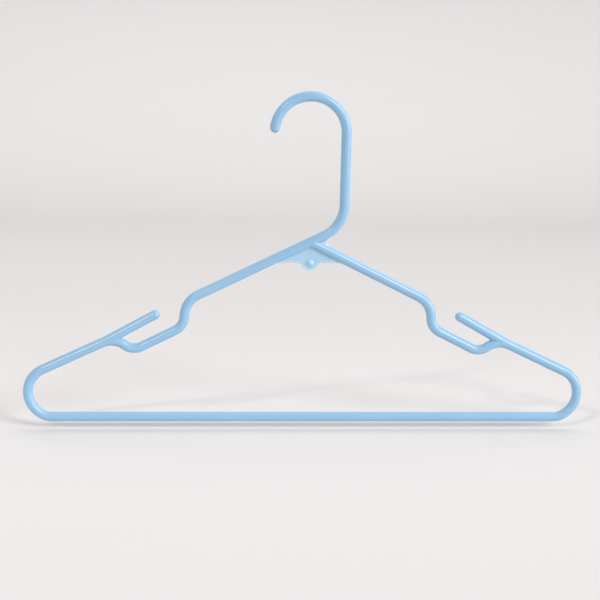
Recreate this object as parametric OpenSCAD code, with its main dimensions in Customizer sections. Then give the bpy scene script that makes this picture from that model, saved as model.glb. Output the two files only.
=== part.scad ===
// One-piece moulded tubular clothes hanger.
// The whole hanger is one round hollow tube bent in a single plane, with two thin webs at
// the neck. It is drawn flat, x to the right, y up and thickness along z, and is stood up at
// the end. The origin is the highest point of the hook's inner curve, where the hanger
// rests on a rail. Lengths are millimetres and angles are degrees.

/* [Overall] */
// Width over the two outer ends
width = 419.1; // [400:0.1:440]
// Height of the neck point above the axis of the bottom bar
neck_h = 132.3; // [130:0.1:135]

/* [Tube] */
// Outer diameter of the tube
tube_d = 7.2; // [6.8:0.1:7.8]
// Diameter of the hollow core that runs through the tube
core_d = 4; // [3:0.1:4.6]
// Solid length kept at the end of the hook
solid_tip = 9; // [6:1:14]

/* [Hook] */
// Centre-line radius of the hook
hook_r = 25.8; // [23:0.1:28]
// Angle that the hook turns through, from the stem to its tip
hook_sweep = 173; // [160:1:185]
// Distance of the stem to the right of the neck point
stem_x = 24.2; // [23:0.1:26]
// Length of the straight stem
stem_len = 51; // [40:1:70]
// Centre-line radius of the bend between the stem and the left shoulder
neck_r = 25.6; // [23:0.1:27]

/* [Shoulders and outer ends] */
// Slope of the shoulders, below level
shoulder_slope = 26.1; // [25.5:0.1:26.7]
// Slope of the outer arms, below level
arm_slope = 25.1; // [24.6:0.1:25.6]
// Centre-line radius of the outer ends
end_r = 19; // [18:0.5:20]
// Slope of the short heel between the outer end and the bottom bar
heel_slope = 35; // [32:0.5:40]
// Centre-line radius where the heel meets the bottom bar
heel_r = 12; // [8:0.5:14]

/* [Strap notches] */
// Distance of the notch's upper corner from the centre
notch_x = 90.9; // [88:0.1:94]
// Height of the step down into the notch
notch_drop = 18.7; // [18.5:0.1:20]
// Outward lean of that step
notch_lean = 0.8; // [0:0.1:1.5]
// Length of the notch's straight run, between its corners
run_len = 41.8; // [38:0.2:46]
// Slope of the run, below level
run_slope = 26.6; // [26:0.1:27.2]
// Length of the rise out of the notch, between its corners
rise_len = 17.1; // [17:0.1:18.5]
// Slope of the rise, above level
rise_slope = 35.1; // [34:0.1:36]
// Centre-line radii of the notch's four bends, from the centre outwards
notch_radii = [18, 12.5, 12, 16.5];

/* [Strap fingers] */
// Diameter of a finger, a hair slimmer than the tube it springs from
finger_d = 7.1; // [6.5:0.1:7.1]
// Distance along the arm's axis from the notch's last corner to the finger's axis
finger_root = 6.8; // [6:0.1:7.5]
// Length of the finger from that crossing to the centre of its round end
finger_len = 41.6; // [36:0.2:44]
// Slope of the finger, above level
finger_slope = 29.1; // [28:0.1:30]
// Length of the finger that is buried past the crossing
finger_bury = 1.2; // [0.8:0.1:1.4]
// Length of the finger that is a plain cylinder, back from the centre of its round end
finger_plain = 22; // [18:0.5:24]
// Diameter of the finger at its root, grown by the mould's draft
finger_root_d = 7.16; // [7.14:0.01:7.18]

/* [Webs] */
// Thickness of both webs
web_t = 1.6; // [1.2:0.1:2.4]
// Depth of the main web's lower edge below the neck point
web_drop = 15.3; // [14:0.1:17]
// Length of the lead from the main web's lower edge onto the tube
web_lead = 3.8; // [2:0.1:5]
// Radius of the tongue round the boss
tongue_r = 6.3; // [5.5:0.1:7]
// Depth of the tongue's lowest point below the neck point
tongue_drop = 21.1; // [20:0.1:22]
// Radius of the two curves that lead into the tongue
tongue_lead_r = 4.5; // [3.5:0.5:6]
// Distance from the crotch to the hollow edge of the small upper web
corner_reach = 4; // [3.5:0.1:5]
// Radius of that hollow edge
corner_r = 3.4; // [3.3:0.1:4]

/* [Boss and pin pads] */
// Radius of the boss on the web
boss_r = 2.6; // [2.3:0.1:3.2]
// Height of the boss above the web
boss_h = 1.4; // [1.1:0.1:1.9]
// Depth of the boss's centre below the neck point
boss_drop = 15.6; // [14.5:0.1:17]
// Diameter of an ejector pin's pad
pad_d = 3; // [2.4:0.1:3.4]
// Height of a pad above the crest of the tube
pad_h = 0.12; // [0.08:0.01:0.2]
// Distance of the bottom bar's pads from the centre
bar_pad_x = 107; // [60:1:150]
// Place of the notch's pad along its straight run, as a share of the run
run_pad_share = 0.37; // [0.3:0.01:0.7]
// Angle of the outer end's pad round its bend, above level
end_pad_angle = 10; // [-30:1:60]

/* [Hidden] */
$fn = 96;

plastic = [0.60, 0.77, 0.92];
thin_plastic = [0.72, 0.85, 0.95];
tube_r = tube_d / 2;
core_r = core_d / 2;
finger_r = finger_d / 2;
hair = 0.01; // how much slimmer a link or a round end is than the bend it laps into
lap = 0.2;   // how far a link laps into the bends at its ends
sink = 0.8;  // how far a pad reaches into the tube's wall

// ---- Vectors in the hanger's plane ---------------------------------------------------

function heading(angle) = [cos(angle), sin(angle)];
function bearing(v) = atan2(v.y, v.x);
function unit(v) = v / norm(v);
function mirrored(p) = [-p.x, p.y];
function left_of(v) = [-v.y, v.x];
function cross2(a, b) = a.x * b.y - a.y * b.x;
// Where the line through p along u meets the line through q along v
function meet(p, u, q, v) = p + u * cross2(q - p, v) / cross2(u, v);

// ---- Rounded corners: a path runs a to b to c and is rounded at b ----------------------

// Left turns are positive
function turn(a, b, c) = let (u = unit(b - a), v = unit(c - b)) atan2(cross2(u, v), u * v);
function cut_back(a, b, c, r) = r * tan(abs(turn(a, b, c)) / 2);
function bend_start(a, b, c, r) = b - unit(b - a) * cut_back(a, b, c, r);
function bend_end(a, b, c, r) = b + unit(c - b) * cut_back(a, b, c, r);
function bend_centre(a, b, c, r) =
    bend_start(a, b, c, r) + left_of(unit(b - a)) * r * sign(turn(a, b, c));

// ---- Corners of the centre line, right half --------------------------------------------

neck = [0, neck_h];
notch_top = neck + heading(-shoulder_slope) * notch_x / cos(shoulder_slope);
notch_foot = notch_top + [notch_lean, -notch_drop];
notch_dip = notch_foot + heading(-run_slope) * run_len;
notch_crest = notch_dip + heading(rise_slope) * rise_len;
arm_dir = heading(-arm_slope);
finger_cross = notch_crest + arm_dir * finger_root;
finger_dir = heading(180 - finger_slope);
finger_tip = finger_cross + finger_dir * finger_len;

// The outer end's arc touches the arm and reaches out to half of the overall width
end_x = width / 2 - tube_r - end_r;
end_centre = meet([end_x, 0], [0, 1], notch_crest - left_of(arm_dir) * end_r, arm_dir);
arm_end = end_centre + left_of(arm_dir) * end_r;
heel_start = end_centre + heading(heel_slope - 90) * end_r;
heel_corner = meet(heel_start, heading(heel_slope), [0, 0], [1, 0]);
heel_top = bend_start(heel_start, heel_corner, [0, 0], heel_r);
heel_end = bend_end(heel_start, heel_corner, [0, 0], heel_r);

// The notch's centre line, from the end of the shoulder to the start of the arm
shoulder_end = bend_start(neck, notch_top, notch_foot, notch_radii[0]);
arm_start = bend_end(notch_dip, notch_crest, arm_end, notch_radii[3]);
notch_path = [shoulder_end, notch_top, notch_foot, notch_dip, notch_crest, arm_start];

// ---- Corners of the neck and hook ------------------------------------------------------

neck_corner = neck + heading(shoulder_slope) * stem_x / cos(shoulder_slope);
stem_up = neck_corner + [0, 100];
neck_start = bend_start(neck, neck_corner, stem_up, neck_r);
stem_foot = bend_end(neck, neck_corner, stem_up, neck_r);
stem_top = stem_foot + [0, stem_len];
hook_centre = stem_top - [hook_r, 0];
hook_tip = hook_centre + heading(hook_sweep) * hook_r;
rail_seat = hook_centre + [0, hook_r - tube_r];

// ---- Round bars and bends ------------------------------------------------------------

// Round bar from p to q, lengthened at both ends by `over`
module rod(p, q, r, over = 0) {
    translate([p.x, p.y, 0])
        rotate([0, 0, bearing(q - p)])
            rotate([0, 90, 0])
                translate([0, 0, -over])
                    cylinder(r = r, h = norm(q - p) + 2 * over);
}

// Round bar bent about a centre, turning left from one angle through another
module bend(centre, bend_r, from, sweep, r) {
    translate([centre.x, centre.y, 0])
        rotate([0, 0, from])
            rotate_extrude(angle = sweep)
                translate([bend_r, 0])
                    circle(r = r);
}

// Round end at p that faces along an angle, and laps back into the bar behind it
module dome(p, angle, r) {
    translate([p.x, p.y, 0])
        rotate([0, 0, angle])
            rotate([0, 90, 0])
                rotate_extrude()
                    intersection() {
                        circle(r = r);
                        translate([0, -lap])
                            square(r + lap);
                    }
}

// Bend that rounds the corner b of the path a, b, c, and runs past both of its ends by an angle
module corner(a, b, c, bend_r, r, past = 0) {
    angle = turn(a, b, c);
    from = angle > 0 ? bearing(b - a) - 90 : bearing(c - b) + 90;
    bend(bend_centre(a, b, c, bend_r), bend_r, from - past, abs(angle) + 2 * past, r);
}

// Straight hollow tube from p to q
module tube(p, q) {
    difference() {
        rod(p, q, tube_r);
        rod(p, q, core_r, 1);
    }
}

// Round bar along the notch: four bends with a link between each pair
module notch_bar(r, past = 0) {
    p = notch_path;
    for (i = [1 : 4])
        corner(p[i - 1], p[i], p[i + 1], notch_radii[i - 1], r, past);
    for (i = [1 : 3]) {
        from = bend_end(p[i - 1], p[i], p[i + 1], notch_radii[i - 1]);
        to = bend_start(p[i], p[i + 1], p[i + 2], notch_radii[i]);
        rod(from, to, r - hair, lap);
    }
}

// Round bar round the outer end: one wide bend, a short heel and a small bend
module end_bar(r, past = 0) {
    sweep = 180 - heel_slope - arm_slope;
    bend(end_centre, end_r, heel_slope - 90 - past, sweep + 2 * past, r);
    rod(heel_start, heel_top, r - hair, lap);
    corner(heel_start, heel_corner, [0, 0], heel_r, r, past);
}

// ---- Hook and neck -------------------------------------------------------------------

module hook() {
    core_sweep = hook_sweep - solid_tip / hook_r * 180 / PI;
    stand()
        difference() {
            union() {
                bend(hook_centre, hook_r, 0, hook_sweep, tube_r);
                dome(hook_tip, hook_sweep + 90, tube_r - hair);
            }
            bend(hook_centre, hook_r, -0.5, core_sweep + 0.5, core_r);
        }
}

module hook_stem() {
    stand()
        tube(stem_foot, stem_top);
}

module neck_bend() {
    stand()
        difference() {
            corner(neck, neck_corner, stem_up, neck_r, tube_r);
            corner(neck, neck_corner, stem_up, neck_r, core_r, 0.5);
        }
}

// ---- Shoulders -----------------------------------------------------------------------

// The left shoulder runs on past the neck point into the bend of the stem. Its core opens
// sideways into the right shoulder's.
module left_shoulder() {
    stand()
        difference() {
            rod(mirrored(shoulder_end), neck_start, tube_r);
            rod(mirrored(shoulder_end), neck_start, core_r, 1);
            rod(neck, shoulder_end, core_r - 0.3);
        }
}

// The right shoulder is cut to a saddle that sits on the left shoulder
module right_shoulder() {
    stand()
        difference() {
            rod(neck, shoulder_end, tube_r);
            rod(mirrored(shoulder_end), neck_start, tube_r);
            rod(neck, shoulder_end, core_r, 1);
        }
}

// ---- Parts that come in pairs, drawn for the right side --------------------------------

module strap_notch() {
    difference() {
        notch_bar(tube_r);
        notch_bar(core_r, 0.5);
    }
}

// Round bar from p to q whose radius goes evenly from rp to rq
module taper(p, q, rp, rq) {
    translate([p.x, p.y, 0])
        rotate([0, 0, bearing(q - p)])
            rotate([0, 90, 0])
                cylinder(r1 = rp, r2 = rq, h = norm(q - p));
}

// The finger is solid, with a plain cylinder at its free end and a drafted root that
// springs from the notch's last bend
module strap_finger() {
    plain_start = finger_tip - finger_dir * finger_plain;
    difference() {
        union() {
            taper(finger_cross - finger_dir * finger_bury, plain_start + finger_dir * lap,
                finger_root_d / 2, finger_r + hair);
            rod(plain_start, finger_tip, finger_r);
            dome(finger_tip, 180 - finger_slope, finger_r - hair);
        }
        notch_bar(tube_r);
    }
}

module end_bend() {
    difference() {
        end_bar(tube_r);
        end_bar(core_r, 0.5);
    }
}

module left_strap_notch() left_side() strap_notch();
module right_strap_notch() right_side() strap_notch();
module left_strap_finger() left_side() strap_finger();
module right_strap_finger() right_side() strap_finger();
module left_arm() left_side() tube(arm_start, arm_end);
module right_arm() right_side() tube(arm_start, arm_end);
module left_end_bend() left_side() end_bend();
module right_end_bend() right_side() end_bend();

module bottom_bar() {
    stand()
        tube(mirrored(heel_end), heel_end);
}

// ---- Webs and boss -------------------------------------------------------------------

// Points along an arc, in steps of about 4 degrees
function arc(centre, r, from, to) =
    let (steps = ceil(abs(to - from) / 4))
    [for (i = [0 : steps]) centre + heading(from + (to - from) * i / steps) * r];

function reversed(points) = [for (i = [len(points) - 1 : -1 : 0]) points[i]];
function mirror_points(points) = [for (p = reversed(points)) mirrored(p)];

edge_y = neck.y - web_drop;
boss_y = neck.y - boss_drop;

// Right half of the main web's lower edge, from the middle of the tongue out to the tube
function web_edge() =
    let (
        lead_y = edge_y - tongue_lead_r,
        tongue_y = neck.y - tongue_drop + tongue_r,
        reach = tongue_r + tongue_lead_r,
        lead_x = sqrt(reach * reach - pow(tongue_y - lead_y, 2)),
        lean = atan2(lead_y - tongue_y, lead_x),
        edge_x = (web_drop - tube_r / cos(shoulder_slope)) / tan(shoulder_slope),
        fair_r = web_lead / tan(shoulder_slope / 2),
        fair_centre = [edge_x - web_lead, edge_y - fair_r]
    )
    concat(
        arc([0, tongue_y], tongue_r, -90, lean),
        arc([lead_x, lead_y], tongue_lead_r, lean + 180, 90),
        arc(fair_centre, fair_r, 90, 90 - shoulder_slope)
    );

module plate(points) {
    color(thin_plastic)
        translate([0, 0, -web_t / 2])
            linear_extrude(web_t)
                polygon(points);
}

module neck_web() {
    edge = web_edge();
    inside = left_of(heading(-shoulder_slope)) * tube_r;
    side = [edge[len(edge) - 1] + inside];
    stand()
        difference() {
            plate(concat(mirror_points(side), mirror_points(edge), edge, side, [neck]));
            rod(mirrored(shoulder_end), neck_start, tube_r);
            rod(neck, shoulder_end, tube_r);
        }
}

// Fills the crotch between the stem's bend and the right shoulder, with a hollow outer edge
// whose two ends run on into the tubes
module corner_web() {
    crotch = neck + [tube_r / sin(shoulder_slope), 0];
    centre = crotch + [corner_reach + corner_r, 0.15];
    foot = 270 - shoulder_slope;
    edge = arc(centre, corner_r, foot, 360 - foot);
    into_foot = centre + heading(foot) * (corner_r + 1.5);
    into_top = centre + heading(-foot) * (corner_r + 1.5);
    stand()
        difference() {
            plate(concat([crotch - [tube_r, 0], into_foot], edge, [into_top]));
            rod(mirrored(shoulder_end), neck_start, tube_r);
            rod(neck, shoulder_end, tube_r);
            corner(neck, neck_corner, stem_up, neck_r, tube_r);
        }
}

// Domed boss on the front face of the main web
module web_boss() {
    ball_r = (boss_r * boss_r + boss_h * boss_h) / (2 * boss_h);
    stand()
        translate([0, boss_y, web_t / 2])
            rotate_extrude()
                intersection() {
                    translate([0, boss_h - ball_r])
                        circle(r = ball_r);
                    square([boss_r + 1, boss_h + 1]);
                }
}

// ---- Ejector pads: low round witness pads on the front crest of the tube ---------------

module pad(p) {
    translate([p.x, p.y, tube_r - sink])
        cylinder(r = pad_d / 2, h = sink + pad_h);
}

module pads_of_one_side() {
    difference() {
        pad([bar_pad_x, 0]);
        rod(mirrored(heel_end), heel_end, tube_r);
    }
    difference() {
        pad(notch_foot + (notch_dip - notch_foot) * run_pad_share);
        rod(notch_foot, notch_dip, tube_r);
    }
    difference() {
        pad(end_centre + heading(end_pad_angle) * end_r);
        bend(end_centre, end_r, heel_slope - 90, 120, tube_r);
    }
}

module ejector_pads() {
    left_side() pads_of_one_side();
    right_side() pads_of_one_side();
}

// ---- Standing up -----------------------------------------------------------------------

// Stands the flat drawing up, with its front to -y and the rail seat at the origin
module stand() {
    color(plastic)
        rotate([90, 0, 0])
            translate([-rail_seat.x, -rail_seat.y, 0])
                children();
}

module right_side() stand() children();
module left_side() stand() mirror([1, 0, 0]) children();

hook();
hook_stem();
neck_bend();
left_shoulder();
right_shoulder();
left_strap_notch();
right_strap_notch();
left_strap_finger();
right_strap_finger();
left_arm();
right_arm();
left_end_bend();
right_end_bend();
bottom_bar();
neck_web();
corner_web();
web_boss();
ejector_pads();
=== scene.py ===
"""Looks for a one-piece moulded tubular clothes hanger, on a sweep of pale paper."""

import math

import bpy
import numpy as np
from mathutils import Matrix, Vector


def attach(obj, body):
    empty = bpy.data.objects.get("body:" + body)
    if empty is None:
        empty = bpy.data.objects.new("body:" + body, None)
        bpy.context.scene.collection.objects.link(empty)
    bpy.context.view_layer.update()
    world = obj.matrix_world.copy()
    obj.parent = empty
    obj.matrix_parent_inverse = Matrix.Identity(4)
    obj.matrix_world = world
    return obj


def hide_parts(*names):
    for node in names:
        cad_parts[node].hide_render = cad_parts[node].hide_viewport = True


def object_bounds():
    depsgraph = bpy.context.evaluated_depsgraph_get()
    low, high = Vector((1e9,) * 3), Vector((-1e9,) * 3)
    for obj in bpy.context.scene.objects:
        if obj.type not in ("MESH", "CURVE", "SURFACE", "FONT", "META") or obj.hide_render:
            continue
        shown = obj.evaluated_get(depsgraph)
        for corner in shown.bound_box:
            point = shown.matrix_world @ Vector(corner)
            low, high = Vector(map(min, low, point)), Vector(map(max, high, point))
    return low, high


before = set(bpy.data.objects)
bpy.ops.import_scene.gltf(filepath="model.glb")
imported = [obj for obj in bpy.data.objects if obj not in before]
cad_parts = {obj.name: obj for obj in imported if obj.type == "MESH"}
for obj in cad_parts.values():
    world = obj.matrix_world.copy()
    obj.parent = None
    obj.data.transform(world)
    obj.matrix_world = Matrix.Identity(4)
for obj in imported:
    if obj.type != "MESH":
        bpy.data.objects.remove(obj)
cad_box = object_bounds()
MM = 0.001
NUDGE = 1e-3  # mm, the small step that normals are measured over

# ---- Dimensions, in millimetres and degrees, the same as in the part's source -------------

WIDTH, NECK_H = 419.1, 132.3
TUBE_R, FINGER_R = 3.6, 3.55
HOOK_R, HOOK_SWEEP, STEM_X, STEM_LEN, NECK_R = 25.8, 173.0, 24.2, 51.0, 25.6
SHOULDER, ARM, HEEL = 26.1, 25.1, 35.0
END_R, HEEL_R = 19.0, 12.0
NOTCH_X, NOTCH_DROP, NOTCH_LEAN = 90.9, 18.7, 0.8
RUN_LEN, RUN, RISE_LEN, RISE = 41.8, 26.6, 17.1, 35.1
NOTCH_RADII = (18.0, 12.5, 12.0, 16.5)
FINGER_ROOT, FINGER_LEN, FINGER, FINGER_BURY = 6.8, 41.6, 29.1, 1.2
WEB_HALF, WEB_DROP, WEB_LEAD = 0.8, 15.3, 3.8
TONGUE_R, TONGUE_DROP, TONGUE_LEAD_R = 6.3, 21.1, 4.5
CORNER_REACH, CORNER_R = 4.0, 3.4
BOSS_R, BOSS_H, BOSS_DROP = 2.6, 1.4, 15.6
BAR_PAD_X, RUN_PAD, END_PAD = 107.0, 0.37, 10.0  # where the ejector marks lie

# ---- Finer shape that only the looks have, in millimetres and degrees ----------------------

RIDGE_H, RIDGE_W = 0.09, 0.3  # the mould's parting line: a fine ridge in the middle plane
RIDGE_STEPS = (-0.3, -0.2, -0.1, 0.0, 0.1, 0.2, 0.3)  # mesh rows across it
ROUND_STEPS = 25  # mesh rows over half the tube, apart from the ridge's
STRAIGHT_STEP, ARC_STEP, DOME_STEP = 6.0, 2.5, 7.5  # mesh steps: mm, degrees, degrees
POLE_LIFT = 0.012  # the domes' poles stand proud by about the tube's unevenness
SADDLE_BITE = 0.15  # how far the right shoulder's end runs into the left shoulder

NECK_FILLET, CORNER_FILLET = 1.8, 1.2  # fillets from the webs up to the tubes
NECK_STEP, CORNER_STEP = 0.45, 0.3  # mesh steps along the webs' free edges
EDGE_ROWS, WEB_ROWS = 9, 29  # mesh rows over the rounded edge, and from there to the root
PAINTED_GLOW_FADE = 2.0  # how far the painted glow of light through the webs' thin free edge reaches in
HOLLOW_LIFT, HOLLOW_TRIM = 0.15, 8.0  # the corner web's free edge: set up, and cut back
CORNER_ROOT_DEPTH, CORNER_ROOT_SQUEEZE = 2.5, 0.25  # its root, buried between the tubes

BOSS_RIM, BOSS_SKIRT = math.radians(42), 1.0  # where the dome ends, and the skirt's reach
BOSS_GATE = ((0.0, -0.05), (0.25, -0.045), (0.42, -0.03))  # the gate's dimple, from the top
BOSS_FOOT = 0.25  # how deep the boss's foot is buried in the web


# ---- Vectors in the hanger's plane ------------------------------------------------------


def vec(x, y):
    return np.array([x, y], float)


def heading(deg):
    return vec(math.cos(math.radians(deg)), math.sin(math.radians(deg)))


def bearing(v):
    return math.degrees(math.atan2(v[1], v[0]))


def unit(v):
    return v / np.linalg.norm(v)


def left_of(v):
    """v turned left by 90 degrees."""
    return np.stack([-v[..., 1], v[..., 0]], -1)


def cross2(a, b):
    return a[..., 0] * b[..., 1] - a[..., 1] * b[..., 0]


def meet(p, u, q, v):
    """Where the line through p along u crosses the line through q along v."""
    return p + u * cross2(q - p, v) / cross2(u, v)


def mirrored(p):
    return vec(-p[0], p[1])


class Straight:
    """Straight segment. Like an arc, it gives points and directions at distances along it."""

    def __init__(self, p, q):
        self.p, self.u, self.length = p, unit(q - p), float(np.linalg.norm(q - p))

    def at(self, s):
        s = np.asarray(s, float)[..., None]
        return self.p + s * self.u, np.broadcast_to(self.u, s.shape[:-1] + (2,))

    def stops(self):
        n = max(1, math.ceil(self.length / STRAIGHT_STEP))
        return np.linspace(0, self.length, n + 1)


class Arc:
    """Arc about a centre from one angle to another, turning left if the second is larger."""

    def __init__(self, centre, r, a0, a1):
        self.centre, self.r, self.a0, self.a1 = centre, r, a0, a1
        self.length = abs(math.radians(a1 - a0)) * r

    def at(self, s):
        way = 1 if self.a1 > self.a0 else -1
        a = math.radians(self.a0) + way * np.asarray(s, float) / self.r
        radial = np.stack([np.cos(a), np.sin(a)], -1)
        return self.centre + radial * self.r, left_of(radial) * way

    def stops(self):
        n = max(2, math.ceil(abs(self.a1 - self.a0) / ARC_STEP))
        return np.linspace(0, self.length, n + 1)


def corner(a, b, c, r):
    """The arc that rounds the corner b of the path a, b, c, with its two ends."""
    u, v = unit(b - a), unit(c - b)
    turn = math.degrees(math.atan2(cross2(u, v), float(u @ v)))
    cut = r * math.tan(math.radians(abs(turn)) / 2)
    start, end = b - u * cut, b + v * cut
    side = 1 if turn > 0 else -1
    centre = start + left_of(u) * r * side
    a0 = bearing(start - centre)
    return Arc(centre, r, a0, a0 + turn), start, end


# ---- The centre line, right half and neck ------------------------------------------------

neck = vec(0, NECK_H)
notch_top = neck + heading(-SHOULDER) * NOTCH_X / math.cos(math.radians(SHOULDER))
notch_foot = notch_top + vec(NOTCH_LEAN, -NOTCH_DROP)
notch_dip = notch_foot + heading(-RUN) * RUN_LEN
notch_crest = notch_dip + heading(RISE) * RISE_LEN
arm_dir = heading(-ARM)
finger_cross = notch_crest + arm_dir * FINGER_ROOT
finger_dir = heading(180 - FINGER)
finger_tip = finger_cross + finger_dir * FINGER_LEN

end_x = WIDTH / 2 - TUBE_R - END_R
end_centre = meet(vec(end_x, 0), vec(0, 1), notch_crest - left_of(arm_dir) * END_R, arm_dir)
arm_end = end_centre + left_of(arm_dir) * END_R
heel_start = end_centre + heading(HEEL - 90) * END_R
heel_corner = meet(heel_start, heading(HEEL), vec(0, 0), vec(1, 0))
heel_bend, heel_top, heel_end = corner(heel_start, heel_corner, vec(0, 0), HEEL_R)

bend_1, shoulder_end, step_top = corner(neck, notch_top, notch_foot, NOTCH_RADII[0])
bend_2, step_foot, run_start = corner(notch_top, notch_foot, notch_dip, NOTCH_RADII[1])
bend_3, run_end, rise_start = corner(notch_foot, notch_dip, notch_crest, NOTCH_RADII[2])
bend_4, rise_end, arm_start = corner(notch_dip, notch_crest, arm_end, NOTCH_RADII[3])

neck_corner = neck + heading(SHOULDER) * STEM_X / math.cos(math.radians(SHOULDER))
neck_arc, neck_start, stem_foot = corner(neck, neck_corner, neck_corner + vec(0, 99), NECK_R)
stem_top = stem_foot + vec(0, STEM_LEN)
hook_centre = stem_top - vec(HOOK_R, 0)
seat = hook_centre + vec(0, HOOK_R - TUBE_R)


def stand(flat, out):
    """From the flat drawing to the part's frame: x to X, y to Z, and out of the front to -Y."""
    flat, out = np.asarray(flat), np.asarray(out)
    return np.stack([flat[..., 0] - seat[0], -out, flat[..., 1] - seat[1]], -1)


def turned(normal, out):
    """The same turn as stand, for directions."""
    normal, out = np.asarray(normal), np.asarray(out)
    return np.stack([normal[..., 0], -out, normal[..., 1]], -1)


# ---- Meshes ------------------------------------------------------------------------------


def make_mesh(name, verts, faces, normals):
    """A closed mesh, in mm in the part's frame, with the given normal at each face corner.
    Faces and normals are turned to the outside here."""
    verts = np.asarray(verts, float)
    faces = [list(f) for f in faces]
    normals = [np.array(n, float) for n in normals]
    spans, volume = [], 0.0
    for f in faces:
        v = verts[f]
        area = sum(np.cross(v[i] - v[0], v[i + 1] - v[0]) for i in range(1, len(f) - 1))
        volume += float(v[0] @ area)
        spans.append(area)
    way = 1.0 if volume > 0 else -1.0
    loops = []
    for i, f in enumerate(faces):
        facing = float(spans[i] @ normals[i].sum(0)) * way
        n = normals[i] if facing >= 0 else -normals[i]
        if way < 0:
            faces[i], n = f[::-1], n[::-1]
        loops.append(n)
    loops = np.concatenate(loops)
    loops /= np.maximum(np.linalg.norm(loops, axis=1, keepdims=True), 1e-12)
    mesh = bpy.data.meshes.new(name)
    mesh.from_pydata((verts * MM).tolist(), [], faces)
    mesh.polygons.foreach_set("use_smooth", [True] * len(faces))
    mesh.normals_split_custom_set(loops.tolist())
    mesh.update()
    obj = bpy.data.objects.new(name, mesh)
    bpy.context.scene.collection.objects.link(obj)
    return obj


def profile_angles():
    """Angles round the tube: even steps, and close ones over the two parting ridges."""
    fine = np.array(RIDGE_STEPS) / TUBE_R
    clear = fine[-1] * 1.3
    even = np.linspace(0, math.pi, ROUND_STEPS)[1:-1]
    even = even[(even > clear) & (even < math.pi - clear)]
    return np.concatenate([fine, even, math.pi + fine, math.pi + even])


PHI = profile_angles()


def ridge(phi):
    """Height of the parting line over the tube, at an angle from the middle plane."""
    away = np.abs((phi + math.pi / 2) % math.pi - math.pi / 2) * TUBE_R
    return np.where(away < RIDGE_W, RIDGE_H * np.cos(away / RIDGE_W * math.pi / 2) ** 2, 0.0)


def waver(flat):
    """Slow unevenness of the moulded tube, a few hundredths of a millimetre."""
    x, y = flat[..., 0], flat[..., 1]
    return 0.014 * np.sin(0.19 * x + 0.11 * y + 1.0) + 0.010 * np.sin(0.37 * x - 0.23 * y)


def bar_points(seg, s, phi, radius):
    """Points of a round bar along seg, at distances s along it and angles phi round it."""
    flat, t = seg.at(s)
    r = radius + waver(flat) + ridge(phi)
    return stand(flat + left_of(t) * (r * np.cos(phi))[..., None], r * np.sin(phi))


def bar_ring(seg, s, phi, radius):
    """The same points with their normals, which point outwards."""
    e, turn = NUDGE, NUDGE / radius
    along = bar_points(seg, s + e, phi, radius) - bar_points(seg, s - e, phi, radius)
    round_it = bar_points(seg, s, phi + turn, radius) - bar_points(seg, s, phi - turn, radius)
    normal = np.cross(along, round_it)
    _, t = seg.at(s)
    radial = turned(left_of(t) * np.cos(phi)[..., None], np.sin(phi))
    outwards = normal * np.sign((normal * radial).sum(-1, keepdims=True))
    return bar_points(seg, s, phi, radius), outwards


def tube_piece(name, segs, radius=TUBE_R, dome=False, saddle=None):
    """A round bar along segs. Its far end is flat or a dome, and its near end is flat or,
    with saddle, starts at its own distance at each angle."""
    rings, normals = [], []
    for k, seg in enumerate(segs):
        for j, s in enumerate(seg.stops()):
            if k and not j:
                continue  # the last segment's end is this one's start
            s_row = np.full(PHI.shape, s)
            if saddle is not None and k == 0:
                start = saddle(PHI)
                s_row = start + (seg.length - start) * s / seg.length
            p, n = bar_ring(seg, s_row, PHI, radius)
            rings.append(p)
            normals.append(n)
    if dome:
        seg = segs[-1]
        flat, t = seg.at(seg.length)
        n = left_of(t)
        for lat in np.radians(np.arange(DOME_STEP, 89, DOME_STEP)):
            r = radius + (ridge(PHI) * math.cos(lat) + waver(flat))
            side = r * math.cos(lat) * np.cos(PHI)
            out = r * math.cos(lat) * np.sin(PHI)
            ahead = r * math.sin(lat)
            spread = n * side[:, None] + t * ahead[:, None]
            rings.append(stand(flat + spread, out))
            normals.append(turned(spread, out))
    count = len(PHI)
    verts, norms = np.concatenate(rings), np.concatenate(normals)
    faces, corner_normals = [], []
    for i in range(len(rings) - 1):
        for j in range(count):
            k = (j + 1) % count
            f = [i * count + j, i * count + k, (i + 1) * count + k, (i + 1) * count + j]
            faces.append(f)
            corner_normals.append(norms[f])
    # the two ends
    (first_c, first_t), last = segs[0].at(0.0), segs[-1]
    (last_c, last_t) = last.at(last.length)
    base = len(verts)
    pole = last_t * (radius + POLE_LIFT) if dome else 0
    verts = np.concatenate([verts, np.array([stand(first_c, 0.0), stand(last_c + pole, 0.0)])])
    back, ahead = turned(-first_t, 0.0), turned(last_t, 0.0)
    top = (len(rings) - 1) * count
    for j in range(count):
        k = (j + 1) % count
        faces.append([base, k, j])
        corner_normals.append(np.array([back] * 3))
        faces.append([base + 1, top + j, top + k])
        if dome:
            corner_normals.append(np.array([ahead, norms[top + j], norms[top + k]]))
        else:
            corner_normals.append(np.array([ahead] * 3))
    return make_mesh(name, verts, faces, corner_normals)


pieces = []


def keep(obj, node, slot="tube"):
    """Makes obj the looks of a CAD node."""
    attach(obj, "root")
    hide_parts(node)
    pieces.append((obj, slot))


def mirror_seg(seg):
    """The mirror image, followed the same way."""
    if isinstance(seg, Straight):
        p = mirrored(seg.p)
        return Straight(p, mirrored(seg.p + seg.u * seg.length))
    return Arc(mirrored(seg.centre), seg.r, 180 - seg.a0, 180 - seg.a1)


def both(name, segs, **more):
    """A tube piece on the right, and its mirror image on the left."""
    keep(tube_piece(f"moulded_right_{name}", segs, **more), f"right_{name}")
    keep(tube_piece(f"moulded_left_{name}", [mirror_seg(s) for s in segs], **more), f"left_{name}")


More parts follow.
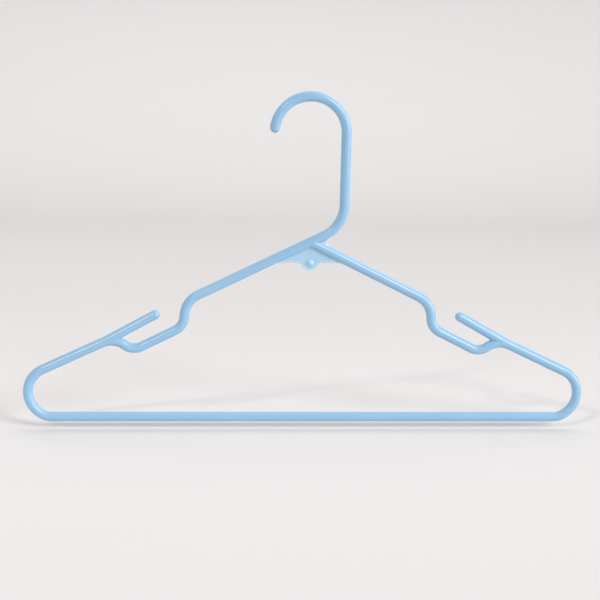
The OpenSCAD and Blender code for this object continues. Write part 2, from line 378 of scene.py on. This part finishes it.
def right_saddle(phi):
    """Where a line along the right shoulder leaves the left shoulder's tube."""
    a = math.radians(2 * SHOULDER)
    side, out = TUBE_R * np.cos(phi), TUBE_R * np.sin(phi)
    reach = np.sqrt(np.maximum(TUBE_R**2 - out**2, 0.0))
    return (reach + side * math.cos(a)) / math.sin(a) - SADDLE_BITE


keep(tube_piece("moulded_hook", [Arc(hook_centre, HOOK_R, 0, HOOK_SWEEP)], dome=True), "hook")
keep(tube_piece("moulded_hook_stem", [Straight(stem_foot, stem_top)]), "hook_stem")
keep(tube_piece("moulded_neck_bend", [neck_arc]), "neck_bend")
left_line = [Straight(mirrored(shoulder_end), neck_start)]
right_line = [Straight(neck, shoulder_end)]
keep(tube_piece("moulded_left_shoulder", left_line), "left_shoulder")
keep(tube_piece("moulded_right_shoulder", right_line, saddle=right_saddle), "right_shoulder")
step, run = Straight(step_top, step_foot), Straight(run_start, run_end)
rise = Straight(rise_start, rise_end)
both("strap_notch", [bend_1, step, bend_2, run, bend_3, rise, bend_4])
finger = Straight(finger_cross - finger_dir * FINGER_BURY, finger_tip)
both("strap_finger", [finger], radius=FINGER_R, dome=True)
both("arm", [Straight(arm_start, arm_end)])
wide_bend = Arc(end_centre, END_R, 90 - ARM, HEEL - 90)
both("end_bend", [wide_bend, Straight(heel_start, heel_top), heel_bend])
keep(tube_piece("moulded_bottom_bar", [Straight(mirrored(heel_end), heel_end)]), "bottom_bar")


# ---- Thin webs ---------------------------------------------------------------------------


class Chain:
    """Segments end to end, followed by the distance along them all."""

    def __init__(self, segs):
        self.segs = segs
        self.starts = np.cumsum([0.0] + [g.length for g in segs])

    def at(self, s):
        s = np.asarray(s, float)
        which = np.clip(np.searchsorted(self.starts, s, side="right") - 1, 0, len(self.segs) - 1)
        p, t = np.zeros(s.shape + (2,)), np.zeros(s.shape + (2,))
        for k, seg in enumerate(self.segs):
            here = which == k
            if here.any():
                p[here], t[here] = seg.at(s[here] - self.starts[k])
        return p, t

    def stops(self, step):
        rows = [
            np.linspace(a, b, max(2, math.ceil((b - a) / step)) + 1)[:-1]
            for a, b in zip(self.starts[:-1], self.starts[1:])
        ]
        return np.append(np.concatenate(rows), self.starts[-1])


def mirror_back(seg):
    """The mirror image, followed the other way."""
    if isinstance(seg, Straight):
        return Straight(mirrored(seg.p + seg.u * seg.length), mirrored(seg.p))
    return Arc(mirrored(seg.centre), seg.r, 180 - seg.a1, 180 - seg.a0)


def from_line(flat, p, u):
    """Distance from the line through p along u."""
    return np.abs(cross2(np.broadcast_to(u, flat.shape), flat - p))


def fillet_height(away, rho):
    """Half thickness of a web at a distance from a tube's axis, with a fillet up to the tube."""
    centre = math.sqrt((TUBE_R + rho) ** 2 - (WEB_HALF + rho) ** 2)
    touch = centre * TUBE_R / (TUBE_R + rho)
    touch_h = (WEB_HALF + rho) * TUBE_R / (TUBE_R + rho)
    a = np.clip(away, touch, centre)
    h = WEB_HALF + rho - np.sqrt(np.maximum(rho**2 - (centre - a) ** 2, 0.0))
    # inside the tube it only has to stay hidden
    slope = min(centre / (WEB_HALF + rho), 0.6) * 0.5
    return np.where(away < touch, touch_h + slope * (away - touch), h)


def blended(a, b):
    """Both rises over the plain web at once, as where two fillets meet."""
    both_up = (a - WEB_HALF) ** 3 * (a > WEB_HALF) + (b - WEB_HALF) ** 3 * (b > WEB_HALF)
    return WEB_HALF + both_up ** (1 / 3)


def web_piece(name, edge, root, height, step):
    """A thin web with a round free edge, from its edge back to its roots inside the tubes.
    root gives the root's point for an edge point, and height the half thickness at a point."""

    def surface(s, w):
        # w runs from 0 to 1 over the rounded edge, and from 1 to 2 back to the root
        p, t = edge.at(s)
        n = left_of(t)
        theta = np.minimum(w, 1.0) * math.pi / 2
        start = p + n * (WEB_HALF * (1 - np.cos(theta)))[..., None]
        flat = start + (root(start) - start) * np.maximum(w - 1.0, 0.0)[..., None]
        return flat, height(flat) * np.sin(theta)

    s = edge.stops(step)
    w = np.concatenate([np.linspace(0, 1, EDGE_ROWS), 1 + np.linspace(0, 1, WEB_ROWS)[1:]])
    s_all, w_all = np.meshgrid(s, w, indexing="ij")
    lo_s, hi_s = np.maximum(s_all - NUDGE, s[0]), np.minimum(s_all + NUDGE, s[-1])
    lo_w, hi_w = np.maximum(w_all - NUDGE, 0.0), np.minimum(w_all + NUDGE, 2.0)

    def put(s, w, side):
        flat, out = surface(s, w)
        return stand(flat, out * side)

    cols, rows = len(s), len(w)
    verts, norms = [], []
    for side in (1, -1):
        verts.append(put(s_all, w_all, side).reshape(-1, 3))
        ds = put(hi_s, w_all, side) - put(lo_s, w_all, side)
        dw = put(s_all, hi_w, side) - put(s_all, lo_w, side)
        norms.append(np.cross(ds, dw).reshape(-1, 3) * side)
    size = cols * rows
    verts, norms = np.concatenate(verts), np.concatenate(norms)
    # the front and the back share the edge's own row
    share = np.arange(2 * size)
    share[size::rows] = share[:size:rows]
    faces, corners = [], []

    def face(ids, facing=None):
        """A face with the surface's own normals, or with one normal at all its corners."""
        faces.append([int(share[i]) for i in ids])
        corners.append(norms[ids] if facing is None else np.array([facing] * len(ids)))

    for i in range(cols - 1):
        for j in range(rows - 1):
            q = [i * rows + j, (i + 1) * rows + j, (i + 1) * rows + j + 1, i * rows + j + 1]
            face(q)
            face([size + k for k in q[::-1]])
        a, b = i * rows + rows - 1, (i + 1) * rows + rows - 1
        face([a, b, size + b, size + a], verts[a] - verts[i * rows])
    for i, way in ((0, 1), (cols - 1, -1)):
        for j in range(rows - 1):
            a = i * rows + j
            q = [a, a + 1, size + a + 1, size + a][::way]
            if j == 0:
                q = [a, a + 1, size + a + 1][::way]
            face(q, verts[a] - verts[(i + way) * rows + j])
    used = sorted({i for f in faces for i in f})
    renumber = {old: new for new, old in enumerate(used)}
    faces = [[renumber[i] for i in f] for f in faces]
    obj = make_mesh(name, verts[used], faces, corners)
    # how near each point is to the free edge, for the painted glow of light through the thin edge
    inward = np.linalg.norm(surface(s_all, w_all)[0] - edge.at(s_all)[0], axis=-1).ravel()
    painted_glow_amount = np.clip(1.0 - inward / PAINTED_GLOW_FADE, 0.0, 1.0)
    both_sides = np.tile(painted_glow_amount, 2)[used]
    obj.data.attributes.new("painted_glow_amount", "FLOAT", "POINT").data.foreach_set("value", both_sides)
    return obj


edge_y = NECK_H - WEB_DROP
boss_y = NECK_H - BOSS_DROP
tongue_y = NECK_H - TONGUE_DROP + TONGUE_R
lead_y = edge_y - TONGUE_LEAD_R
lead_x = math.sqrt((TONGUE_R + TONGUE_LEAD_R) ** 2 - (tongue_y - lead_y) ** 2)
lean = math.degrees(math.atan2(lead_y - tongue_y, lead_x))
slope = math.tan(math.radians(SHOULDER))
edge_x = (WEB_DROP - TUBE_R / math.cos(math.radians(SHOULDER))) / slope
fair_r = WEB_LEAD / math.tan(math.radians(SHOULDER) / 2)
half_edge = [
    Arc(vec(0, tongue_y), TONGUE_R, -90, lean),
    Arc(vec(lead_x, lead_y), TONGUE_LEAD_R, lean + 180, 90),
    Straight(vec(lead_x, edge_y), vec(edge_x - WEB_LEAD, edge_y)),
    Arc(vec(edge_x - WEB_LEAD, edge_y - fair_r), fair_r, 90, 90 - SHOULDER),
]
whole_edge = Chain([mirror_back(g) for g in half_edge[::-1]] + half_edge)


def neck_root(flat):
    return np.stack([flat[..., 0], NECK_H - np.abs(flat[..., 0]) * slope], -1)


def neck_height(flat):
    left = fillet_height(from_line(flat, neck, heading(SHOULDER)), NECK_FILLET)
    right = fillet_height(from_line(flat, neck, heading(-SHOULDER)), NECK_FILLET)
    return blended(left, right)


neck_web = web_piece("moulded_neck_web", whole_edge, neck_root, neck_height, NECK_STEP)
keep(neck_web, "neck_web", "web")

crotch = neck + vec(TUBE_R / math.sin(math.radians(SHOULDER)), 0)
hollow_turn = 90 + SHOULDER - HOLLOW_TRIM
hollow_centre = crotch + vec(CORNER_REACH + CORNER_R, HOLLOW_LIFT)
hollow = Arc(hollow_centre, CORNER_R, 360 - hollow_turn, hollow_turn)


def corner_root(flat):
    up = (flat[..., 1] - crotch[1]) * CORNER_ROOT_SQUEEZE
    return np.stack([np.full(up.shape, crotch[0] - CORNER_ROOT_DEPTH), crotch[1] + up], -1)


def corner_height(flat):
    straight = from_line(flat, neck, heading(SHOULDER))
    bent = np.abs(np.linalg.norm(flat - neck_arc.centre, axis=-1) - NECK_R)
    past = (flat - neck_start) @ heading(SHOULDER) > 0
    above = fillet_height(np.where(past, bent, straight), CORNER_FILLET)
    below = fillet_height(from_line(flat, neck, heading(-SHOULDER)), CORNER_FILLET)
    return blended(above, below)


hollow_edge = Chain([hollow])
corner_web = web_piece(
    "moulded_corner_web", hollow_edge, corner_root, corner_height, CORNER_STEP
)
keep(corner_web, "corner_web", "web")


# ---- Lathed bits on the front --------------------------------------------------------------


def lathe(profile, place, around=48):
    """Closed round mesh data from a profile of (radius, height) rows with the axis at both ends.
    place turns arrays of x, y and height in the drawing into the part's frame."""
    profile = np.array(profile, float)
    inner = profile[1:-1]
    a = np.linspace(0, 2 * math.pi, around, endpoint=False)
    x, y = inner[:, :1] * np.cos(a), inner[:, :1] * np.sin(a)
    h = np.broadcast_to(inner[:, 1:], x.shape)
    poles = place(np.zeros(2), np.zeros(2), profile[[0, -1], 1])
    verts = np.concatenate([place(x.ravel(), y.ravel(), h.ravel()), poles])
    n, count = len(inner), around
    faces = []
    for i in range(n - 1):
        for j in range(count):
            k = (j + 1) % count
            faces.append([i * count + j, i * count + k, (i + 1) * count + k, (i + 1) * count + j])
    for j in range(count):
        k = (j + 1) % count
        faces.append([n * count, k, j])
        faces.append([n * count + 1, (n - 1) * count + j, (n - 1) * count + k])
    return verts, faces


def smooth_normals(verts, faces):
    """Corner normals from the faces round each vertex."""
    total = np.zeros_like(verts)
    for f in faces:
        v = verts[f]
        area = sum(np.cross(v[i] - v[0], v[i + 1] - v[0]) for i in range(1, len(f) - 1))
        for i in f:
            total[i] += area
    return [total[f] for f in faces]


def boss_profile():
    """A dome with the gate's dimple on top, and a skirt that runs out onto the web."""
    ball = (BOSS_R**2 + BOSS_H**2) / (2 * BOSS_H)
    rows = [(r, BOSS_H + h) for r, h in BOSS_GATE]
    for a in np.linspace(math.radians(11), BOSS_RIM, 12):
        rows.append((ball * math.sin(a), BOSS_H - ball + ball * math.cos(a)))
    r0, h0 = rows[-1]
    for t in np.linspace(0, 1, 9)[1:]:
        # a curve that leaves at the dome's slope and lands flat
        x = 2 * (1 - t) * t * (h0 / math.tan(BOSS_RIM)) + t * t * BOSS_SKIRT
        rows.append((r0 + x, h0 * (1 - t) ** 2))
    return rows + [(rows[-1][0] + 0.02, -BOSS_FOOT), (0.0, -BOSS_FOOT)]


def place_boss(x, y, h):
    return stand(np.stack([x, y + boss_y], -1), WEB_HALF + h)


verts, faces = lathe(boss_profile(), place_boss)
keep(make_mesh("moulded_web_boss", verts, faces, smooth_normals(verts, faces)), "web_boss", "web")


def pad_places():
    """Where the ejector marks lie, each with the segment that it lies on."""
    on_run = notch_foot + (notch_dip - notch_foot) * RUN_PAD
    for p, along in (
        (vec(BAR_PAD_X, 0), Straight(mirrored(heel_end), heel_end)),
        (on_run, Straight(notch_foot, notch_dip)),
        (end_centre + heading(END_PAD) * END_R, wide_bend),
    ):
        yield p, along
        yield mirrored(p), mirror_seg(along)


def pad_profile():
    """A low disc inside a fine raised ring, with its skirt buried in the tube."""
    rows = [(0.0, 0.03), (0.5, 0.03), (1.0, 0.03), (1.14, 0.045), (1.24, 0.085), (1.32, 0.105)]
    rows += [(1.42, 0.105), (1.5, 0.08), (1.56, 0.03), (1.6, -0.04), (1.62, -0.16), (1.5, -0.6)]
    return rows + [(0.0, -0.8)]


def tube_top(flat, along):
    """Height of the tube's front surface over the middle plane."""
    if isinstance(along, Arc):
        off = np.linalg.norm(flat - along.centre, axis=-1) - along.r
    else:
        off = cross2(np.broadcast_to(along.u, flat.shape), flat - along.p)
    return np.sqrt(np.maximum((TUBE_R + waver(flat)) ** 2 - off**2, 0.0))


all_verts, all_faces, all_corners = [], [], []
for p, along in pad_places():

    def place_pad(x, y, h):
        flat = np.stack([x + p[0], y + p[1]], -1)
        return stand(flat, tube_top(flat, along) + h)

    verts, faces = lathe(pad_profile(), place_pad, 40)
    base = sum(len(v) for v in all_verts)
    all_verts.append(verts)
    all_corners += smooth_normals(verts, faces)
    all_faces += [[i + base for i in f] for f in faces]
keep(
    make_mesh("moulded_ejector_marks", np.concatenate(all_verts), all_faces, all_corners),
    "ejector_pads",
)


# ---- Materials -----------------------------------------------------------------------------


class Nodes:
    """Short ways to add and join shader nodes."""

    def __init__(self, name):
        self.material = bpy.data.materials.new(name)
        self.material.use_nodes = True
        self.tree = self.material.node_tree
        self.shader = self.tree.nodes["Principled BSDF"]
        self.object_co = self.tree.nodes.new("ShaderNodeTexCoord").outputs["Object"]

    def add(self, kind, inputs=None, **settings):
        node = self.tree.nodes.new(kind)
        for key, value in settings.items():
            setattr(node, key, value)
        for key, value in (inputs or {}).items():
            if isinstance(value, bpy.types.NodeSocket):
                self.tree.links.new(value, node.inputs[key])
            else:
                node.inputs[key].default_value = value
        return node

    def noise(self, scale, detail, rough, distortion=0.0):
        inputs = {"Vector": self.object_co, "Scale": scale, "Detail": detail}
        inputs.update({"Roughness": rough, "Distortion": distortion})
        return self.add("ShaderNodeTexNoise", inputs).outputs["Fac"]

    def ramp(self, fac, stops):
        node = self.add("ShaderNodeValToRGB", {"Fac": fac})
        ramp = node.color_ramp
        while len(ramp.elements) < len(stops):
            ramp.elements.new(0.5)
        for element, (at, colour) in zip(ramp.elements, stops):
            element.position, element.color = at, (*colour, 1.0)
        return node.outputs["Color"]

    def to_range(self, fac, lo, hi, out_lo, out_hi):
        return self.add(
            "ShaderNodeMapRange",
            {"Value": fac, "From Min": lo, "From Max": hi, "To Min": out_lo, "To Max": out_hi},
        ).outputs["Result"]

    def mix(self, fac, a, b):
        node = self.add("ShaderNodeMix", data_type="RGBA")
        for socket, value in ((node.inputs[0], fac), (node.inputs[6], a), (node.inputs[7], b)):
            if isinstance(value, bpy.types.NodeSocket):
                self.tree.links.new(value, socket)
            else:
                socket.default_value = value
        return node.outputs[2]

    def bump(self, height, distance, strength, normal=None):
        inputs = {"Height": height, "Distance": distance, "Strength": strength}
        if normal is not None:
            inputs["Normal"] = normal
        return self.add("ShaderNodeBump", inputs).outputs["Normal"]

    def feed(self, key, value):
        if isinstance(value, bpy.types.NodeSocket):
            self.tree.links.new(value, self.shader.inputs[key])
        else:
            self.shader.inputs[key].default_value = value


def shade(colour, by):
    return tuple(c * by for c in colour)


def plastic(name, colour, roughness, painted_glow_colour=None):
    """Glossy moulded plastic: cloudy colour, flow streaks, specks, fine grain and faint scuffs.
    A paler colour, painted glow standing in for light through thin plastic, takes over where a mesh
    says that it is near a thin free edge."""
    m = Nodes(name)
    cloud = m.noise(26.0, 4.0, 0.55)
    body = m.ramp(cloud, [(0.30, shade(colour, 0.98)), (0.52, colour), (0.74, shade(colour, 1.02))])
    streaks = m.noise(95.0, 3.0, 0.6, 0.6)
    pale = m.to_range(streaks, 0.58, 0.78, 0.0, 0.10)
    body = m.mix(pale, body, (*shade(colour, 1.10)[:2], min(colour[2] * 1.05, 1.0), 1.0))
    specks = m.noise(620.0, 2.0, 0.5)
    dust = m.to_range(specks, 0.72, 0.78, 0.0, 0.12)
    body = m.mix(dust, body, (*shade(colour, 0.90), 1.0))
    if painted_glow_colour:
        # painted glow: paler colour near the webs' thin free edge, standing in for light shining
        # through
        painted_glow_amount = m.add("ShaderNodeAttribute", attribute_name="painted_glow_amount").outputs["Fac"]
        body = m.mix(painted_glow_amount, body, (*painted_glow_colour, 1.0))
    m.feed("Base Color", body)
    scuffs = m.noise(210.0, 5.0, 0.62, 1.0)
    rough = m.to_range(scuffs, 0.42, 0.72, roughness - 0.02, roughness + 0.06)
    m.feed("Roughness", rough)
    slow = m.bump(m.noise(70.0, 2.0, 0.4), 0.0006, 0.06)
    fine = m.bump(m.noise(1500.0, 3.0, 0.6), 0.00006, 0.12, slow)
    marks = m.bump(scuffs, 0.00005, 0.06, fine)
    m.feed("Normal", marks)
    m.feed("IOR", 1.49)
    m.feed("Coat Weight", 0.3)
    m.feed("Coat Roughness", 0.2)
    m.feed("Sheen Weight", 1.0)
    m.feed("Sheen Roughness", 0.25)
    m.feed("Sheen Tint", (1.0, 0.97, 0.96, 1.0))
    return m.material


# the third colour is painted glow: paler, standing in for light through the webs' thin free edge
TUBE_COLOUR, WEB_COLOUR, PAINTED_GLOW_COLOUR = (0.27, 0.49, 0.70), (0.37, 0.58, 0.76), (0.57, 0.73, 0.85)
tube_plastic = plastic("light_blue_gloss_plastic", TUBE_COLOUR, 0.30)
# the webs' paler colour: partly the thin plastic's own tone, partly painted glow of light shining
# through it
web_plastic = plastic("thin_light_blue_plastic", WEB_COLOUR, 0.26, PAINTED_GLOW_COLOUR)
for obj, slot in pieces:
    obj.data.materials.append(web_plastic if slot == "web" else tube_plastic)


# ---- Floor and backdrop, light and camera, in metres ---------------------------------------

FLOOR_GAP = 0.006  # the hanger hangs a little over the floor
floor_z = float(cad_box[0][2]) - FLOOR_GAP
mid_x = float(cad_box[0][0] + cad_box[1][0]) / 2


def sweep_backdrop():
    """Pale paper: a level floor that curves up into a wall well behind the object."""
    near, turn_at, bend_r, top, half_width = -2.6, 1.25, 0.55, 2.2, 3.2
    line = [(near + (turn_at - near) * i / 12, 0.0) for i in range(13)]
    for a in np.radians(np.arange(5, 91, 5)):
        line.append((turn_at + bend_r * math.sin(a), bend_r * (1 - math.cos(a))))
    line += [(turn_at + bend_r, bend_r + (top - bend_r) * i / 4) for i in range(1, 5)]
    xs = np.linspace(-half_width, half_width, 9)
    verts = [(mid_x + x, y, floor_z + z) for y, z in line for x in xs]
    n = len(xs)
    faces = [
        (i * n + j, i * n + j + 1, (i + 1) * n + j + 1, (i + 1) * n + j)
        for i in range(len(line) - 1)
        for j in range(n - 1)
    ]
    mesh = bpy.data.meshes.new("paper_sweep")
    mesh.from_pydata(verts, [], faces)
    mesh.polygons.foreach_set("use_smooth", [True] * len(faces))
    mesh.update()
    obj = bpy.data.objects.new("paper_sweep", mesh)
    bpy.context.scene.collection.objects.link(obj)
    m = Nodes("pale_paper")
    depth = m.add("ShaderNodeSeparateXYZ", {"Vector": m.object_co}).outputs["Y"]
    # painted shade: the paper is darker towards the wall, standing in for less light falling there
    to_the_wall = m.to_range(depth, -0.15, turn_at + bend_r, 0.0, 1.0)
    painted_shade_greys = [
        (0.0, (0.79, 0.79, 0.79)),
        (0.32, (0.65, 0.65, 0.648)),
        (0.8, (0.60, 0.60, 0.598)),
        (1.0, (0.615, 0.615, 0.612)),
    ]
    m.feed("Base Color", m.ramp(to_the_wall, painted_shade_greys))
    m.feed("Roughness", 0.85)
    m.feed("Specular IOR Level", 0.2)
    m.feed("Normal", m.bump(m.noise(240.0, 4.0, 0.6), 0.0004, 0.08))
    obj.data.materials.append(m.material)


sweep_backdrop()


def aim(obj, at, target, roll=0.0):
    """Puts obj at a place, with its -Z axis at the target and turned about it by roll degrees."""
    at, target = Vector(at), Vector(target)
    ahead = (target - at).normalized()
    level = ahead.cross(Vector((0, 0, 1))).normalized()
    upright = level.cross(ahead)
    c, s = math.cos(math.radians(roll)), math.sin(math.radians(roll))
    right, up = level * c + upright * s, upright * c - level * s
    turn = Matrix((right, up, -ahead)).transposed().to_4x4()
    obj.matrix_world = Matrix.Translation(at) @ turn


def area_light(name, at, target, size, watts, colour, spread=180.0):
    """A lamp near the set, which the camera doesn't see."""
    data = bpy.data.lights.new(name, "AREA")
    data.shape, data.size, data.size_y = "RECTANGLE", size[0], size[1]
    data.energy, data.color, data.spread = watts, colour, math.radians(spread)
    obj = bpy.data.objects.new(name, data)
    obj.visible_camera = False
    bpy.context.scene.collection.objects.link(obj)
    aim(obj, at, target)


def far_light(name, at, target, degrees, strength, colour):
    """A soft lamp so far away that it lights the object and the whole floor alike."""
    data = bpy.data.lights.new(name, "SUN")
    data.angle, data.energy, data.color = math.radians(degrees), strength, colour
    obj = bpy.data.objects.new(name, data)
    bpy.context.scene.collection.objects.link(obj)
    aim(obj, at, target)


centre = (mid_x, 0.0, floor_z / 2)
far_light("right_softbox", (0.90, -1.05, 0.75), centre, 20.0, 1.58, (0.94, 0.93, 1.0))
far_light("left_softbox", (-0.80, -1.00, 0.80), centre, 6.0, 0.74, (1.0, 0.90, 0.78))
area_light("top_softbox", (0.1, 0.45, 1.35), centre, (1.6, 0.8), 4.8, (0.98, 0.97, 0.98))
area_light("right_rim_light", (0.72, 0.68, 0.72), centre, (0.5, 0.5), 1.6, (1.0, 0.95, 0.94))
area_light("left_rim_light", (-0.72, 0.68, 0.72), centre, (0.5, 0.5), 1.5, (1.0, 0.96, 0.92))
far_light("right_window", (1.95, -0.68, 0.38), centre, 35.0, 1.60, (0.97, 0.96, 1.0))
far_light("left_window", (-1.95, -0.45, 0.38), centre, 36.0, 0.34, (1.0, 0.94, 0.88))
on_the_wall, cool_white = (0.4, 1.9, 0.5), (0.97, 0.97, 0.99)
area_light("backdrop_light", (0.5, 0.9, 1.9), on_the_wall, (2.4, 0.5), 1.0, cool_white, 80.0)

world = bpy.data.worlds.new("studio_air")
bpy.context.scene.world = world
world.use_nodes = True
air = world.node_tree.nodes["Background"]
air.inputs["Color"].default_value = (0.98, 0.945, 0.915, 1.0)
# the room gives less light from in front of the set than from round it, and looks pale itself
FRONT_LIGHT, ROUND_LIGHT, ROOM_LOOKS = 0.17, 0.37, 0.74
new, join = world.node_tree.nodes.new, world.node_tree.links.new
way = new("ShaderNodeTexCoord").outputs["Generated"]
split, dim, seen = new("ShaderNodeSeparateXYZ"), new("ShaderNodeMapRange"), new("ShaderNodeMix")
dim.inputs["From Min"].default_value, dim.inputs["From Max"].default_value = -1.0, 0.1
dim.inputs["To Min"].default_value = FRONT_LIGHT
dim.inputs["To Max"].default_value = ROUND_LIGHT
seen.inputs["B"].default_value = ROOM_LOOKS
join(way, split.inputs["Vector"])
join(split.outputs["Y"], dim.inputs["Value"])
join(dim.outputs["Result"], seen.inputs["A"])
join(new("ShaderNodeLightPath").outputs["Is Camera Ray"], seen.inputs["Factor"])
join(seen.outputs["Result"], air.inputs["Strength"])

CAMERA_FAR = 0.8097      # from the point it looks at
CAMERA_TURN = -4.037     # degrees round from square on, to the left
CAMERA_RISE = 11.188     # degrees above level
CAMERA_ROLL = 1.235      # degrees about its own line of sight
AIM_LEFT = 0.00674       # the point it looks at, left of the hanger's middle
AIM_ABOVE_BAR = 0.09291  # and above the bar's underside
camera = bpy.data.objects.new("camera", bpy.data.cameras.new("camera"))
bpy.context.scene.collection.objects.link(camera)
camera.data.lens, camera.data.sensor_width = 66.0, 36.0
camera.data.clip_start, camera.data.clip_end = 0.01, 20.0
looks_at = Vector((mid_x - AIM_LEFT, 0.0, float(cad_box[0][2]) + AIM_ABOVE_BAR))
round_by, up_by = math.radians(CAMERA_TURN), math.radians(CAMERA_RISE)
level_way = Vector((math.sin(round_by), -math.cos(round_by), 0.0))
outward = level_way * math.cos(up_by) + Vector((0.0, 0.0, math.sin(up_by)))
aim(camera, looks_at + outward * CAMERA_FAR, looks_at, CAMERA_ROLL)
bpy.context.scene.camera = camera
bpy.context.scene.view_settings.view_transform = "Standard"
